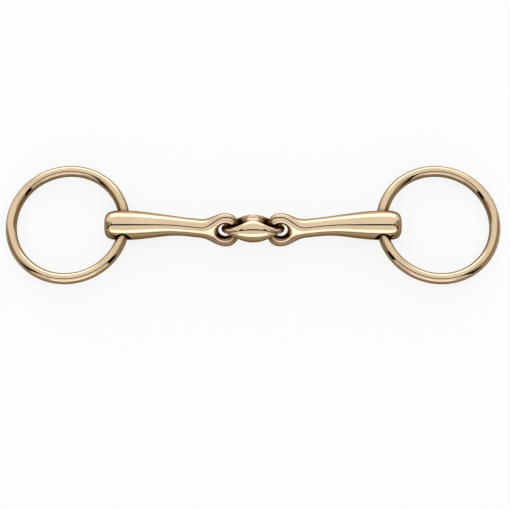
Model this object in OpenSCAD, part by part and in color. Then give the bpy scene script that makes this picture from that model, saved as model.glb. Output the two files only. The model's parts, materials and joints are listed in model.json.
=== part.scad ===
// Loose-ring snaffle bit with a double-jointed mouthpiece, lying on a table.
// +X runs along the bit to its right ring, +Y points to the back, +Z up from the table.
// All lengths are in millimetres.

/* [Rings] */
// Outside diameter of each ring
ring_outer_d = 70; // [60:0.5:85]
// Thickness of the round ring wire
ring_wire_d = 6.2; // [5:0.1:7.5]
// Radial room between the wire and its hole, beyond the wire's own curve in the hole
ring_play = 0.35; // [0.25:0.05:1]
// How far back each ring lies from the middle of its hole
ring_back = 1.4; // [0:0.1:2]

/* [Arms] */
// Mouth width, measured between the inner sides of the two rings
mouth_w = 138.4; // [120:0.2:160]
// Diameter of the barrel round the ring hole
barrel_d = 16.5; // [15:0.1:20]
// Length of the barrel from the ring hole's axis to its end face
barrel_end_l = 10.4; // [9:0.1:14]
// Length of the taper from the ring hole's axis to the neck
taper_l = 36; // [28:0.5:40]
// Diameter of the neck, the slimmest place of the arm
neck_d = 10.4; // [9:0.1:12]
// How far the eye stands forward of the ring hole
arm_sweep = 2.6; // [0:0.1:4]
// Length over which the arm bends forward, up to the eye's centre
sweep_l = 36; // [20:0.5:45]
// Length along the ring hole over which each of its mouths flares open
ring_mouth_l = 2; // [1:0.1:5]
// Radius of the curve of those mouths
ring_mouth_r = 5; // [5:0.1:9]

/* [Eyes] */
// Angle of the eyes to the ring holes, about the arm; the link stands square to the eyes
eye_roll = 45; // [30:1:60]
// Length over which the neck widens into the eye
eye_flare_l = 14; // [12:0.5:20]
// Width of the eye's two side bars
eye_side_bar = 6; // [5.2:0.1:7]
// Thickness of the eye's end bar, which passes through the link
eye_end_bar = 4; // [3.4:0.1:4.6]
// Thickness of the eye
eye_h = 6; // [5:0.1:7]
// Room on each side of the link's end bar in the eye's hole
eye_play = 1.8; // [1.75:0.05:2.6]

/* [Link] */
// Length of the centre link
link_l = 35.2; // [33:0.2:40]
// Width of the centre link across its middle
link_w = 18; // [16.5:0.1:22]
// Thickness of the centre link at its middle
link_h = 14; // [12:0.1:15]
// Thickness of the bar at each end of the link, before its rounding
link_tip_h = 5.6; // [4.6:0.1:5.8]
// Width of the bar at each end of the link
link_end_bar = 4.1; // [3.6:0.1:4.8]
// Room on each side of the eye's end bar in the link's hole
link_play = 2; // [1.9:0.05:2.4]
// How far the link stands up the eyes' end bars, from their middles
link_rise = 0.8; // [0:0.1:0.8]
// Depth of the trough between the link's two holes, on each face
trough_d = 1.8; // [1:0.1:2.5]
// Radius of the trough
trough_r = 3.2; // [2.6:0.1:5]

/* [Hidden] */

metal = "#d8b988";
// Points round one lofted section, and stations along each stretch of a loft
around = 36;
end_steps = 6;
taper_steps = 12;
flare_steps = 9;
link_steps = 24;
// Angle on a rounded end at which the loft stops in a small flat
end_stop = 82;
// Squareness of the superellipses: 2 is an ellipse, more is squarer
barrel_end_square = 3.6;
eye_outline_square = 2.3;
bar_square = 3;
round_square = 2;
link_square = 2.4;
link_tip_square = 3;
// Steepness of the link's thinning from its middle to its end bars
link_thinning = 1.3;
// Extra length of a cutter past the face that it opens
cut_over = 2;
// Turn of a waisted cutter about its own axis, which keeps its seam off the edges of the loft that it cuts
seam_turn = 27;
$fn = 96;

ring_wire_r = ring_wire_d / 2;
ring_r = ring_outer_d / 2 - ring_wire_r;
barrel_r = barrel_d / 2;
neck_r = neck_d / 2;
eye_hole_r = link_end_bar / 2 + eye_play;
eye_half_w = eye_hole_r + eye_side_bar;
eye_end_l = eye_hole_r + eye_end_bar;
link_hole_r = eye_end_bar / 2 + link_play;
link_half_l = link_l / 2;
link_bar_x = link_half_l - link_end_bar;
link_hole_x = link_bar_x - link_hole_r;

// The wire's arc strays by wire_sag over the barrel's width, half to each side of the hole's axis.
wire_sag = ring_r - sqrt(pow(ring_r, 2) - pow(barrel_r + ring_back, 2));
ring_bore_r = ring_wire_r + wire_sag / 2 + ring_play;

// Middle of the right ring hole
hole_x = mouth_w / 2 + ring_wire_r;
hole_y = -ring_back;
hole_z = barrel_r;

// The link stands square to the eyes, and rests on the table as the barrels and rings do.
link_lean = 90 - eye_roll;
link_reach = link_square / (link_square - 1);
link_z = pow(pow(link_w / 2 * sin(link_lean), link_reach) + pow(link_h / 2 * cos(link_lean), link_reach),
    1 / link_reach);
link_y = hole_y - arm_sweep + link_rise * cos(eye_roll);
eye_z = link_z - link_rise * sin(eye_roll);
arm_reach = hole_x - link_hole_x;
arm_pitch = atan((eye_z - hole_z) / arm_reach);
ring_tilt = asin((hole_z - ring_wire_r) / (2 * ring_r - wire_sag / 2));

// Places along the arm, from the ring hole's axis
bar_s = norm([arm_reach, eye_z - hole_z]);
eye_s = bar_s - eye_hole_r - eye_end_bar / 2;
flare_s = eye_s - eye_flare_l;
sweep_s = eye_s - sweep_l;

// Goes smoothly from 0 to 1 as t does
function ease(t) = t <= 0 ? 0 : t >= 1 ? 1 : (1 - cos(180 * t)) / 2;
function mix(a, b, t) = a + (b - a) * t;

// Height, from 0 to 1, of a superellipse of half length a at x from its middle
function super(x, a, n) = pow(max(0, 1 - pow(abs(x) / a, n)), 1 / n);

// Stations along a rounded end of length l, spread evenly round its curve
function end_stations(l, n) = [for (i = [1 : end_steps]) l * pow(sin(end_stop * i / end_steps), 2 / n)];

// One superellipse section at x, centred at y and rolled about X
function section(x, y, half_w, half_h, n, roll) = [for (i = [0 : around - 1])
    let (
        c = cos(360 * i / around),
        s = sin(360 * i / around),
        v = half_w * sign(c) * pow(abs(c), 2 / n),
        w = half_h * sign(s) * pow(abs(s), 2 / n)
    )
    [x, y + v * cos(roll) - w * sin(roll), v * sin(roll) + w * cos(roll)]];

// Half width and half height of the arm at s along it
function arm_body_r(s) = mix(barrel_r, neck_r, ease(s / taper_l));
function arm_round(s) = s < 0 ? super(s, barrel_end_l, barrel_end_square)
    : s > eye_s ? super(s - eye_s, eye_end_l, eye_outline_square) : 1;
function arm_flare(s) = ease((s - flare_s) / eye_flare_l);
function arm_half_w(s) = arm_round(s) * mix(arm_body_r(s), eye_half_w, arm_flare(s));
function arm_half_h(s) = arm_round(s) * mix(arm_body_r(s), eye_h / 2, arm_flare(s));
function arm_square(s) = mix(round_square, bar_square, arm_flare(s));
function arm_y(s) = -arm_sweep * ease((s - sweep_s) / sweep_l);

// Half width and half thickness of the link at u along it
function link_swell(u) = pow(max(0, 1 - pow(u / link_bar_x, 2)), link_thinning);
function link_half_w(u) = super(u, link_half_l, round_square) * link_w / 2;
function link_half_h(u) = super(u, link_half_l, link_tip_square) * mix(link_tip_h, link_h, link_swell(u)) / 2;

// A closed skin through a row of sections, with a flat face at each end
module loft(sections) {
    last = len(sections) - 1;
    polyhedron(
        points = [for (ring = sections, p = ring) p],
        faces = concat(
            [[for (i = [0 : around - 1]) i]],
            [[for (i = [around - 1 : -1 : 0]) last * around + i]],
            [for (k = [0 : last - 1], i = [0 : around - 1], half = [0, 1])
                let (j = (i + 1) % around, a = k * around, b = a + around)
                half == 0 ? [a + i, b + i, b + j] : [a + i, b + j, a + j]]
        )
    );
}

// Cutter for a hole along Z that is narrowest, of radius r, at its middle
module waisted_hole(r, flare_r, h) {
    rotate([0, 0, seam_turn])
        rotate_extrude()
            difference() {
                translate([0, -h / 2])
                    square([r + flare_r, h]);
                translate([r + flare_r, 0])
                    circle(r = flare_r);
            }
}

// Cutter for the ring hole along Y: a straight bore whose two mouths open in a curve
module ring_hole() {
    mouth_y = barrel_r - ring_mouth_l;
    rotate([90, 0, 0])
        rotate_extrude()
            difference() {
                translate([0, -barrel_r - cut_over])
                    square([ring_bore_r + ring_mouth_r, barrel_d + 2 * cut_over]);
                translate([ring_bore_r, -mouth_y])
                    square([ring_mouth_r + cut_over, 2 * mouth_y]);
                for (side = [-1, 1])
                    translate([ring_bore_r + ring_mouth_r, side * mouth_y])
                        circle(r = ring_mouth_r);
            }
}

// An arm with its ring hole at the origin and its eye towards +X
module arm() {
    stations = concat(
        -1 * [for (i = [end_steps - 1 : -1 : 0]) end_stations(barrel_end_l, barrel_end_square)[i]],
        [for (i = [0 : taper_steps - 1]) flare_s * i / taper_steps],
        [for (i = [0 : flare_steps]) flare_s + eye_flare_l * i / flare_steps],
        [for (l = end_stations(eye_end_l, eye_outline_square)) eye_s + l]
    );
    difference() {
        loft([for (s = stations)
            section(s, arm_y(s), arm_half_w(s), arm_half_h(s), arm_square(s), eye_roll)]);
        ring_hole();
        translate([eye_s, -arm_sweep, 0])
            rotate([eye_roll, 0, 0])
                waisted_hole(eye_hole_r, eye_h / 2, eye_h + cut_over);
    }
}

// The left arm where it lies; the right arm is its mirror image
module placed_arm() {
    color(metal)
        translate([-hole_x, hole_y, hole_z])
            rotate([0, -arm_pitch, 0])
                arm();
}

// The left ring where it lies, its outer side on the table
module placed_ring() {
    color(metal)
        translate([-hole_x, hole_y, hole_z])
            rotate([0, -ring_tilt, 0])
                translate([wire_sag / 2 - ring_r, ring_back, 0])
                    rotate_extrude()
                        translate([ring_r, 0])
                            circle(r = ring_wire_r);
}

module centre_link() {
    color(metal)
        translate([0, link_y, link_z])
            rotate([-link_lean, 0, 0])
                difference() {
                    loft([for (i = [-link_steps / 2 : link_steps / 2])
                        let (u = link_half_l * sin(end_stop * i / (link_steps / 2)))
                        section(u, 0, link_half_w(u), link_half_h(u), link_square, 0)]);
                    for (side = [-1, 1])
                        translate([side * link_hole_x, 0, 0])
                            waisted_hole(link_hole_r, link_h / 2, link_h + cut_over);
                    for (side = [-1, 1])
                        translate([0, 0, side * (link_h / 2 - trough_d + trough_r)])
                            rotate([0, 90, 0])
                                cylinder(r = trough_r, h = 2 * link_hole_x, center = true);
                }
}

module left_arm() {
    placed_arm();
}

module right_arm() {
    mirror([1, 0, 0])
        placed_arm();
}

module left_ring() {
    placed_ring();
}

module right_ring() {
    mirror([1, 0, 0])
        placed_ring();
}

centre_link();
left_arm();
right_arm();
left_ring();
right_ring();
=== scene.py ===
import json
import math

import bpy
import numpy as np
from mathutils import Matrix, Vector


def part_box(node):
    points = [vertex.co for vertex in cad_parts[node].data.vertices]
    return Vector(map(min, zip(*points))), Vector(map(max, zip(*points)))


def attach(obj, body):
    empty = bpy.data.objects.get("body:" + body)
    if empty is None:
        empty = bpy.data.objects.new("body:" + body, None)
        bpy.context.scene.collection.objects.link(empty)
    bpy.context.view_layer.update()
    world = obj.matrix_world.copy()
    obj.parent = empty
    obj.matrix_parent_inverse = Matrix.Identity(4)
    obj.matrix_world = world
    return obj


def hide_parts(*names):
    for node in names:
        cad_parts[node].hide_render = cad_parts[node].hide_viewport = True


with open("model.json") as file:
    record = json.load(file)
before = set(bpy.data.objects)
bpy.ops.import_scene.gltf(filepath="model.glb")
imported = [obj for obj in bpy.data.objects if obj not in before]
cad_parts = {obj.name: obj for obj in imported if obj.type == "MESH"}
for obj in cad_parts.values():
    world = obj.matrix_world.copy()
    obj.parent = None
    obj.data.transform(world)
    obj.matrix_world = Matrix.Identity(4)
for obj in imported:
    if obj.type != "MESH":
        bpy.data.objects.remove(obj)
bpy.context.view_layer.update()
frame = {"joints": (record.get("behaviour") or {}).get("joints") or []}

MM = 0.001  # the sizes below are in millimetres, the scene is in metres

# In the sizes, SQUARE is the exponent of a superellipse: 2 is round, and more is squarer

# Rings
WIRE_R = 3.1
RING_BORE_R = 4.197
RING_MOUTH_L = 2.0
RING_MOUTH_R = 5.0

# Arms, along s from the ring hole's axis to the eye
BARREL_R = 8.25
BARREL_SQUARE = 2.0
BARREL_END_L = 10.4
BARREL_END_SQUARE = 3.6
TAPER_L = 36.0
NECK_R = 5.2
ARM_SWEEP = 2.6
SWEEP_L = 36.0

# Eyes
EYE_ROLL = math.radians(45)
EYE_FLARE_L = 14.0
EYE_HOLE_R = 3.85
EYE_SIDE_BAR = 6.0
EYE_END_BAR = 4.0
EYE_H = 6.0
EYE_OUTLINE_SQUARE = 2.3
BAR_SQUARE = 3.0
EYE_HALF_W = EYE_HOLE_R + EYE_SIDE_BAR
EYE_END_L = EYE_HOLE_R + EYE_END_BAR

# Centre link
LINK_HALF_L = 17.6
LINK_HALF_W = 9.0
LINK_HALF_H = 7.0
LINK_BAR_HALF_H = 2.8
LINK_BAR_U = 13.5
LINK_THINNING = 1.3
LINK_SQUARE = 2.4
LINK_OUTLINE_SQUARE = 2.0
LINK_TIP_SQUARE = 3.0
LINK_TIP_LEAST = 0.01
LINK_HOLE_R = 4.0
LINK_RISE = 0.8
TROUGH_D = 1.8
TROUGH_R = 3.2

# Softening of the edges: at the holes, at the ridges beside a trough, and along the trough's middle
ARM_EDGE = 0.5
LINK_EDGE = 0.25
RIDGE_EDGE = 0.7
SADDLE_EDGE = 2.2

# Meshes: the spacing of their points, and how the points settle on the surface
ARM_STEP = 0.4
LINK_STEP = 0.3
SKIN_MARGIN = 1.0
SLOPE_STEP = 0.001
LEAST_SLOPE = 1e-6  # keeps a flat spot from dividing by zero
WEAK_SLOPE_SQUARED = 0.1  # keeps a point's step short where the slope is weak
SETTLE_ROUNDS = 6
RELAX_ROUNDS = 3
RING_STEPS = 256
WIRE_STEPS = 48

# Metal: its tones, its tint at grazing angles, its cloudiness and its polishing marks
GOLD_LIGHT = (0.70, 0.54, 0.36, 1)
GOLD_DEEP = (0.64, 0.49, 0.32, 1)
GOLD_EDGE = (0.55, 0.42, 0.25, 1)
CLOUD_SCALE = 45
CLOUD_DETAIL = 3
CLOUD_DEEP_AT = 0.35
CLOUD_LIGHT_AT = 0.65
MARK_SCALE = 900
MARK_DETAIL = 6
MARK_LEAST_ROUGHNESS = 0.03
MARK_MOST_ROUGHNESS = 0.08
MARK_BUMP = 0.02
MARK_DEPTH = 0.00002

# Painted shade: how much of its colour the metal keeps, by the share of its surroundings in sight within a
# reach in metres, the floor and the other pieces included. Recesses, the gaps between pieces and the sides
# that face the floor are painted darker, and warmer, standing in for shade and for light that bounces there
# more than once.
PAINTED_SHADE_REACH = 0.3
PAINTED_SHADE_STOPS = [
    (0.25, 0.14),
    (0.42, 0.21),
    (0.54, 0.28),
    (0.70, 0.37),
    (0.80, 0.53),
    (0.86, 0.80),
    (0.94, 1.00),
]
PAINTED_SHADE_WARMTH = (1.0, 1.15, 1.36)  # powers of what is kept under the painted shade, for red, green and blue

# Floor, in metres
FLOOR_HALF = 3.0
FLOOR_COLOUR = (0.93, 0.93, 0.93, 1)
FLOOR_ROUGHNESS = 0.6
FLOOR_CLEAR = 0.85

# Studio light: panels round the object, each with its middle's angle from the front, its half width, its
# lowest and highest angle above the floor and the softness of its edges, in degrees, and its light
PLAIN = (1.1, 1.1, 1.1, 1)
GROUND = (1, 1, 1, 1)
BRIGHT = (2.3, 2.35, 2.6, 1)
FRONT = (2.5, 2.6, 2.9, 1)
BROWN = (0.42, 0.34, 0.22, 1)
DARK = (0.10, 0.075, 0.04, 1)
BLACK = (0.005, 0.005, 0.005, 1)
SUNK = -20  # well below the horizon, where the ground covers the panels
PANELS = [
    ("back_lamp", 180, 30, 6, 36, 14, BRIGHT),
    ("right_wall", 86, 32, SUNK, 48, 10, BROWN),
    ("left_wall", -84, 24, SUNK, 48, 10, BROWN),
    ("left_foot", -84, 24, SUNK, 14, 10, DARK),
    ("front_foot", 0, 56, SUNK, 8, 6, BROWN),
    ("front_lamp", 0, 30, 11, 27, 8, FRONT),
    ("right_edge", 58, 8, SUNK, 66, 4, BLACK),
    ("left_edge", -65, 8, SUNK, 66, 4, BLACK),
]
# Black bars overhead, each with its middle and half width to the side, its lowest and highest angle over from
# the front horizon and the softness of its edges, in degrees
BARS = [
    ("top_gap", 0, 28, 63, 78, 2),
    ("left_bar", -31, 4, 66, 96, 4),
    ("right_bar", 31, 4, 66, 96, 4),
]

# Camera, aimed at a point of the floor, in metres
CAMERA_ELEVATION = math.radians(70.55)
CAMERA_DISTANCE = 1.1296
CAMERA_AIM_X = 0.0011
CAMERA_AIM_Y = -0.0160
FOCAL_PIXELS = 2024.5
PHOTO_PIXELS = 510
SENSOR_W = 36

# Sockets of a Mix node that mixes colours
MIX_SHARE = 0
MIX_UNDER = 6
MIX_OVER = 7
MIX_RESULT = 2

# Places taken from the frame
joints = {joint["name"]: joint for joint in frame["joints"]}
ring_hole = np.array(joints["left_ring_swing"]["pos_m"]) / MM
link_hole = np.array(joints["left_arm_fold"]["pos_m"]) / MM
link_middle = link_hole * [0, 1, 1]
link_hole_u = -link_hole[0]
arm_reach = link_hole[0] - ring_hole[0]
arm_drop = ring_hole[2] - (link_hole[2] - LINK_RISE * math.sin(EYE_ROLL))
eye_s = math.hypot(arm_reach, arm_drop) - EYE_HOLE_R - EYE_END_BAR / 2
flare_s = eye_s - EYE_FLARE_L
sweep_s = eye_s - SWEEP_L


# Shapes, as heights that are zero on the surface and below 0 inside it

def ease(t):
    """Goes smoothly from 0 to 1 as t does."""
    return (1 - np.cos(np.pi * np.clip(t, 0, 1))) / 2


def mix(a, b, t):
    """Goes from a to b as t goes from 0 to 1."""
    return a + (b - a) * t


def rolled(y, z, angle):
    """Coordinates of (y, z) along two axes turned by angle about X."""
    return y * math.cos(angle) + z * math.sin(angle), z * math.cos(angle) - y * math.sin(angle)


def gauge(v, w, half_v, half_w, n):
    """1 on a superellipse of those half widths, less inside it."""
    return (np.abs(v / half_v) ** n + np.abs(w / half_w) ** n) ** (1 / n)


def slope(height, p):
    """Gradient of height() at the points p."""
    steps = SLOPE_STEP * np.eye(3)
    return np.stack([(height(p + d) - height(p - d)) / (2 * SLOPE_STEP) for d in steps], axis=1)


def distance_to(height, p):
    """About how far the points p are from the surface where height() is zero."""
    return height(p) / np.maximum(np.linalg.norm(slope(height, p), axis=1), LEAST_SLOPE)


def soft_max(a, b, k):
    """The larger of a and b, with the crease between them rounded over k."""
    return np.maximum(a, b) + np.clip(k - np.abs(a - b), 0, None) ** 2 / (4 * k)


def hole(rho, along, r, mouth_r, straight=0.0, stretch=1.0):
    """Above 0 inside a round hole of radius r whose walls curve open beyond straight, each way along it."""
    past = np.clip(np.abs(along) - straight, 0, None) / stretch
    return np.hypot(np.minimum(rho - r - mouth_r, 0), past) - mouth_r


def arm_flare(s):
    """Goes from 0 at the neck to 1 at the eye."""
    return ease((s - flare_s) / EYE_FLARE_L)


def arm_half(s, at_eye):
    """The arm's half width at s, where it ends as at_eye."""
    return mix(mix(BARREL_R, NECK_R, ease(s / TAPER_L)), at_eye, arm_flare(s))


def arm_axes(p):
    """Where p is across the arm: along the eye's width, and through its thickness."""
    y = p[:, 1] + ARM_SWEEP * ease((p[:, 0] - sweep_s) / SWEEP_L)
    return rolled(y, p[:, 2], EYE_ROLL)


def arm_body(p):
    """Below 0 inside the arm without its holes."""
    s = p[:, 0]
    v, w = arm_axes(p)
    square = mix(BARREL_SQUARE, BAR_SQUARE, arm_flare(s))
    across = gauge(v, w, arm_half(s, EYE_HALF_W), arm_half(s, EYE_H / 2), square)
    end = np.maximum(np.maximum(-s / BARREL_END_L, (s - eye_s) / EYE_END_L), 0)
    n = np.where(s < 0, BARREL_END_SQUARE, EYE_OUTLINE_SQUARE)
    return (across ** n + end ** n) ** (1 / n) - 1


def arm(p):
    """Distance to the arm's surface, from its ring hole, below 0 inside it."""
    s, y, z = p.T
    v, w = arm_axes(p)
    ring_way = hole(np.hypot(s, z), y, RING_BORE_R, RING_MOUTH_R, straight=BARREL_R - RING_MOUTH_L)
    eye_stretch = arm_half(s, EYE_H / 2) / (EYE_H / 2)
    eye_way = hole(np.hypot(s - eye_s, v), w, EYE_HOLE_R, EYE_H / 2, stretch=eye_stretch)
    return soft_max(soft_max(distance_to(arm_body, p), ring_way, ARM_EDGE), eye_way, ARM_EDGE)


def tapered(end, square):
    """Goes from 1 in the link's middle to nearly 0 at its tip, as a superellipse does."""
    return np.maximum((1 - end ** square) ** (1 / square), LINK_TIP_LEAST)


def link_body(p):
    """Below 0 inside the link without its holes and troughs."""
    u, v, w = p.T
    end = np.minimum(np.abs(u) / LINK_HALF_L, 1)
    thickening = np.clip(1 - (u / LINK_BAR_U) ** 2, 0, 1) ** LINK_THINNING
    half_w = LINK_HALF_W * tapered(end, LINK_OUTLINE_SQUARE)
    half_h = mix(LINK_BAR_HALF_H, LINK_HALF_H, thickening) * tapered(end, LINK_TIP_SQUARE)
    return gauge(v, w, half_w, half_h, LINK_SQUARE) - 1


def link(p):
    """Distance to the link's surface, from its middle and square to its holes, below 0 inside it."""
    u, v, w = p.T
    solid = np.maximum(distance_to(link_body, p), np.abs(u) - LINK_HALF_L)
    trough_edge = mix(SADDLE_EDGE, RIDGE_EDGE, ease(np.abs(v) / TROUGH_R))
    between_holes = np.abs(u) < link_hole_u
    for side in (-1, 1):
        way = hole(np.hypot(u - side * link_hole_u, v), w, LINK_HOLE_R, LINK_HALF_H)
        solid = soft_max(solid, way, LINK_EDGE)
        trough = TROUGH_R - np.hypot(v, side * w - (LINK_HALF_H - TROUGH_D + TROUGH_R))
        solid = soft_max(solid, np.where(between_holes, trough, -TROUGH_R), trough_edge)
    return solid


# Meshes, as points, outward normals and quads

def settled(distance, p):
    """The points p moved onto the surface where distance() is zero."""
    for _ in range(SETTLE_ROUNDS):
        g = slope(distance, p)
        p = p - g * (distance(p) / np.maximum((g * g).sum(axis=1), WEAK_SLOPE_SQUARED))[:, None]
    return p


def skin(distance, low, high, step):
    """The surface where distance() is zero, within a box."""
    counts = np.ceil((high - low) / step).astype(int) + 1
    rulers = [low[a] + step * np.arange(counts[a]) for a in range(3)]
    grid = np.stack(np.meshgrid(*rulers, indexing="ij"), axis=-1)
    inside = distance(grid.reshape(-1, 3)).reshape(counts) < 0

    # One point in each cell that the surface passes through, where some of the cell's 8 corners are inside
    corners = sum(
        inside[i:counts[0] - 1 + i, j:counts[1] - 1 + j, k:counts[2] - 1 + k].astype(int)
        for i in (0, 1) for j in (0, 1) for k in (0, 1)
    )
    crossed = (corners > 0) & (corners < 8)
    number = np.full(crossed.shape, -1)
    number[crossed] = np.arange(crossed.sum())
    points = low + (np.argwhere(crossed) + 0.5) * step

    # One quad round each edge of the grid that the surface crosses
    quads = []
    for a in range(3):
        b, c = (a + 1) % 3, (a + 2) % 3
        first = np.take(inside, np.arange(counts[a] - 1), axis=a)
        second = np.take(inside, np.arange(1, counts[a]), axis=a)
        for leaves, order in ((first & ~second, (0, 1, 2, 3)), (~first & second, (3, 2, 1, 0))):
            edges = np.argwhere(leaves)
            ring = []
            for back_b, back_c in ((1, 1), (0, 1), (0, 0), (1, 0)):
                cell = edges.copy()
                cell[:, b] -= back_b
                cell[:, c] -= back_c
                ring.append(number[tuple(cell.T)])
            quads.append(np.stack([ring[i] for i in order], axis=1))
    quads = np.concatenate(quads)

    # Each point goes halfway to the middle of its neighbours, and back onto the surface
    points = settled(distance, points)
    for _ in range(RELAX_ROUNDS):
        total = np.zeros_like(points)
        count = np.zeros(len(points))
        for i in range(4):
            np.add.at(total, quads[:, i], points[quads[:, (i + 1) % 4]])
            np.add.at(count, quads[:, i], 1)
        points = settled(distance, (points + total / count[:, None]) / 2)
    normals = slope(distance, points)
    normals /= np.linalg.norm(normals, axis=1, keepdims=True)
    return points, normals, quads


def torus(radius, wire_r):
    """A ring of round wire about Z."""
    around, across = np.meshgrid(np.arange(RING_STEPS), np.arange(WIRE_STEPS), indexing="ij")
    a = (2 * np.pi * around / RING_STEPS).ravel()
    b = (2 * np.pi * across / WIRE_STEPS).ravel()
    normals = np.stack([np.cos(b) * np.cos(a), np.cos(b) * np.sin(a), np.sin(b)], axis=1)
    middle = radius * np.stack([np.cos(a), np.sin(a), np.zeros_like(a)], axis=1)
    number = np.arange(RING_STEPS * WIRE_STEPS).reshape(RING_STEPS, WIRE_STEPS)
    ahead = np.roll(number, -1, axis=0)
    quads = np.stack([number, ahead, np.roll(ahead, -1, axis=1), np.roll(number, -1, axis=1)], axis=-1)
    return middle + wire_r * normals, normals, quads.reshape(-1, 4)


def turned(shape, axis, angle, shift):
    """A shape turned about axis 0, 1 or 2 and then moved."""
    points, normals, quads = shape
    b, c = (axis + 1) % 3, (axis + 2) % 3
    turn = np.eye(3)
    turn[b, b] = turn[c, c] = math.cos(angle)
    turn[c, b] = math.sin(angle)
    turn[b, c] = -math.sin(angle)
    return points @ turn.T + shift, normals @ turn.T, quads


def mirrored(shape):
    """A shape's mirror image from left to right."""
    points, normals, quads = shape
    flip = np.array([-1, 1, 1])
    return points * flip, normals * flip, quads[:, ::-1]


def piece(name, shape, node, material):
    """A smooth-shaded object in place of one CAD node."""
    points, normals, quads = shape
    mesh = bpy.data.meshes.new(name)
    mesh.from_pydata((points * MM).tolist(), [], quads.tolist())
    mesh.shade_smooth()
    mesh.normals_split_custom_set_from_vertices(normals.tolist())
    mesh.materials.append(material)
    made = bpy.data.objects.new(name, mesh)
    bpy.context.scene.collection.objects.link(made)
    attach(made, node)
    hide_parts(node)


# Materials

def ramp(nodes, stops):
    """A colour ramp node through the stops, each a position and a colour."""
    node = nodes.new("ShaderNodeValToRGB")
    elements = node.color_ramp.elements
    elements.remove(elements[1])
    elements[0].position = stops[0][0]
    for position, _ in stops[1:]:
        elements.new(position)
    for element, (_, colour) in zip(elements, stops):
        element.color = colour
    return node


def gold():
    """Polished pale gold alloy, slightly uneven in tone, with shade painted into its colour in its recesses,
    between pieces and on its sides that face the floor, and with fine polishing marks.
    """
    made = bpy.data.materials.new("polished_gold_alloy")
    made.use_nodes = True
    nodes, links = made.node_tree.nodes, made.node_tree.links
    shader = nodes["Principled BSDF"]
    shader.inputs["Metallic"].default_value = 1.0
    shader.inputs["Specular Tint"].default_value = GOLD_EDGE
    place = nodes.new("ShaderNodeTexCoord").outputs["Object"]

    def noise(scale, detail):
        node = nodes.new("ShaderNodeTexNoise")
        node.inputs["Scale"].default_value = scale
        node.inputs["Detail"].default_value = detail
        links.new(place, node.inputs["Vector"])
        return node.outputs["Fac"]

    tone = ramp(nodes, [(CLOUD_DEEP_AT, GOLD_DEEP), (CLOUD_LIGHT_AT, GOLD_LIGHT)])
    links.new(noise(CLOUD_SCALE, CLOUD_DETAIL), tone.inputs["Fac"])
    # Painted shade: the base colour is darkened where the floor and the other pieces shut out the
    # surroundings within reach
    in_sight = nodes.new("ShaderNodeAmbientOcclusion")
    in_sight.inputs["Distance"].default_value = PAINTED_SHADE_REACH
    painted_shade = ramp(nodes, [(share, (*[kept ** n for n in PAINTED_SHADE_WARMTH], 1)) for share, kept in PAINTED_SHADE_STOPS])
    links.new(in_sight.outputs["AO"], painted_shade.inputs["Fac"])
    colour = nodes.new("ShaderNodeMix")
    colour.data_type = "RGBA"
    colour.blend_type = "MULTIPLY"
    colour.inputs[MIX_SHARE].default_value = 1
    links.new(tone.outputs["Color"], colour.inputs[MIX_UNDER])
    links.new(painted_shade.outputs["Color"], colour.inputs[MIX_OVER])
    links.new(colour.outputs[MIX_RESULT], shader.inputs["Base Color"])

    marks = noise(MARK_SCALE, MARK_DETAIL)
    gloss = nodes.new("ShaderNodeMapRange")
    gloss.inputs["To Min"].default_value = MARK_LEAST_ROUGHNESS
    gloss.inputs["To Max"].default_value = MARK_MOST_ROUGHNESS
    links.new(marks, gloss.inputs["Value"])
    links.new(gloss.outputs["Result"], shader.inputs["Roughness"])
    bump = nodes.new("ShaderNodeBump")
    bump.inputs["Strength"].default_value = MARK_BUMP
    bump.inputs["Distance"].default_value = MARK_DEPTH
    links.new(marks, bump.inputs["Height"])
    links.new(bump.outputs["Normal"], shader.inputs["Normal"])
    return made


def pale_floor():
    """A matt pale floor that the white ground below shows through, so that its shadows are faint."""
    made = bpy.data.materials.new("pale_floor")
    made.use_nodes = True
    nodes, links = made.node_tree.nodes, made.node_tree.links
    shader = nodes["Principled BSDF"]
    shader.inputs["Base Color"].default_value = FLOOR_COLOUR
    shader.inputs["Roughness"].default_value = FLOOR_ROUGHNESS
    clear = nodes.new("ShaderNodeBsdfTransparent")
    rays = nodes.new("ShaderNodeLightPath")
    seen = rays.outputs["Is Camera Ray"]
    for kind in ("Is Glossy Ray", "Is Transmission Ray"):
        either = nodes.new("ShaderNodeMath")
        either.operation = "MAXIMUM"
        links.new(seen, either.inputs[0])
        links.new(rays.outputs[kind], either.inputs[1])
        seen = either.outputs[0]
    share = nodes.new("ShaderNodeMath")
    share.operation = "MULTIPLY"
    links.new(seen, share.inputs[0])
    share.inputs[1].default_value = FLOOR_CLEAR
    mixed = nodes.new("ShaderNodeMixShader")
    links.new(share.outputs[0], mixed.inputs[0])
    links.new(shader.outputs[0], mixed.inputs[1])
    links.new(clear.outputs[0], mixed.inputs[2])
    links.new(mixed.outputs[0], nodes["Material Output"].inputs["Surface"])
    return made


# Surroundings

def floor():
    """A square of floor under the object."""
    mesh = bpy.data.meshes.new("floor")
    corners = [(x * FLOOR_HALF, y * FLOOR_HALF, 0) for x, y in ((-1, -1), (1, -1), (1, 1), (-1, 1))]
    mesh.from_pydata(corners, [], [(0, 1, 2, 3)])
    mesh.materials.append(pale_floor())
    made = bpy.data.objects.new("floor", mesh)
    bpy.context.scene.collection.objects.link(made)


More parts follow.
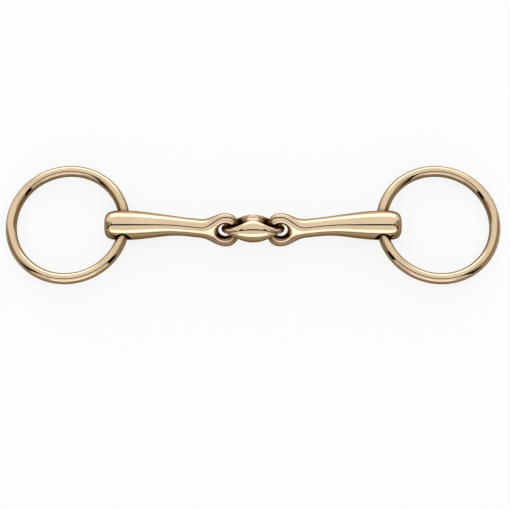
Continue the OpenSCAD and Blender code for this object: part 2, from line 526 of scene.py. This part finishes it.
def studio():
    """A pale room over a white ground, with two lamps, brown and dark walls, and black edges and bars."""
    world = bpy.data.worlds.new("studio")
    bpy.context.scene.world = world
    world.use_nodes = True
    nodes, links = world.node_tree.nodes, world.node_tree.links

    def put(socket, value):
        if isinstance(value, bpy.types.NodeSocket):
            links.new(value, socket)
        else:
            socket.default_value = value

    def calc(operation, *values):
        node = nodes.new("ShaderNodeMath")
        node.operation = operation
        for socket, value in zip(node.inputs, values):
            put(socket, value)
        return node.outputs[0]

    def within(value, low, high, soft):
        """1 where value is between low and high, 0 outside, with soft edges."""
        shares = []
        for edge, before, after in ((low, 0, 1), (high, 1, 0)):
            node = nodes.new("ShaderNodeMapRange")
            node.interpolation_type = "SMOOTHSTEP"
            put(node.inputs["Value"], value)
            node.inputs["From Min"].default_value = edge - soft / 2
            node.inputs["From Max"].default_value = edge + soft / 2
            node.inputs["To Min"].default_value = before
            node.inputs["To Max"].default_value = after
            shares.append(node.outputs["Result"])
        return calc("MULTIPLY", *shares)

    def lay(name, under, over, share):
        """The light under with the light over on top of it, as far as share says."""
        node = nodes.new("ShaderNodeMix")
        node.label = name
        node.data_type = "RGBA"
        put(node.inputs[MIX_SHARE], share)
        put(node.inputs[MIX_UNDER], under)
        put(node.inputs[MIX_OVER], over)
        return node.outputs[MIX_RESULT]

    direction = nodes.new("ShaderNodeSeparateXYZ")
    links.new(nodes.new("ShaderNodeTexCoord").outputs["Generated"], direction.inputs[0])
    x, y, z = direction.outputs
    front = calc("MULTIPLY", y, -1)
    turn = calc("DEGREES", calc("ARCTAN2", x, front))
    height = calc("DEGREES", calc("ARCSINE", z))
    light = PLAIN
    for name, middle, half, low, high, soft, panel in PANELS:
        off_middle = calc("WRAP", calc("SUBTRACT", turn, middle), 180, -180)
        share = calc("MULTIPLY", within(off_middle, -half, half, soft), within(height, low, high, soft))
        light = lay(name, light, panel, share)

    over_front = calc("DEGREES", calc("ARCTAN2", z, front))
    aside = calc("DEGREES", calc("ARCSINE", x))
    for name, middle, half, low, high, soft in BARS:
        across = within(aside, middle - half, middle + half, soft)
        light = lay(name, light, BLACK, calc("MULTIPLY", across, within(over_front, low, high, soft)))
    light = lay("ground", light, GROUND, calc("LESS_THAN", z, 0))
    links.new(light, nodes["Background"].inputs["Color"])


def camera():
    """The photograph's camera, in front of the object and above it."""
    lens = bpy.data.cameras.new("camera")
    lens.sensor_width = SENSOR_W
    lens.lens = FOCAL_PIXELS / PHOTO_PIXELS * SENSOR_W
    made = bpy.data.objects.new("camera", lens)
    made.location = (
        CAMERA_AIM_X,
        CAMERA_AIM_Y - CAMERA_DISTANCE * math.cos(CAMERA_ELEVATION),
        CAMERA_DISTANCE * math.sin(CAMERA_ELEVATION),
    )
    made.rotation_euler = (math.pi / 2 - CAMERA_ELEVATION, 0, 0)
    bpy.context.scene.collection.objects.link(made)
    bpy.context.scene.camera = made


# Pieces
metal = gold()
arm_low = np.array([-BARREL_END_L, -EYE_HALF_W - ARM_SWEEP, -BARREL_R]) - SKIN_MARGIN
arm_high = np.array([eye_s + EYE_END_L, BARREL_R, BARREL_R]) + SKIN_MARGIN
arm_skin = skin(arm, arm_low, arm_high, ARM_STEP)
left_arm = turned(arm_skin, 1, math.atan2(arm_drop, arm_reach), ring_hole)
piece("arm_left", left_arm, "left_arm", metal)
piece("arm_right", mirrored(left_arm), "right_arm", metal)

link_reach = np.array([LINK_HALF_L, LINK_HALF_W, LINK_HALF_H]) + SKIN_MARGIN
link_skin = skin(link, -link_reach, link_reach, LINK_STEP)
centre_link = turned(link_skin, 0, EYE_ROLL - math.pi / 2, link_middle)
piece("link_centre", centre_link, "centre_link", metal)

ring_low, ring_high = [np.array(corner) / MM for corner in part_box("left_ring")]
ring_r = (ring_high[1] - ring_low[1]) / 2 - WIRE_R
ring_tilt = math.asin((ring_high[2] - ring_low[2] - 2 * WIRE_R) / (2 * ring_r))
left_ring = turned(torus(ring_r, WIRE_R), 1, -ring_tilt, (ring_low + ring_high) / 2)
piece("ring_left", left_ring, "left_ring", metal)
piece("ring_right", mirrored(left_ring), "right_ring", metal)

floor()
studio()
camera()
bpy.context.scene.view_settings.view_transform = "Standard"
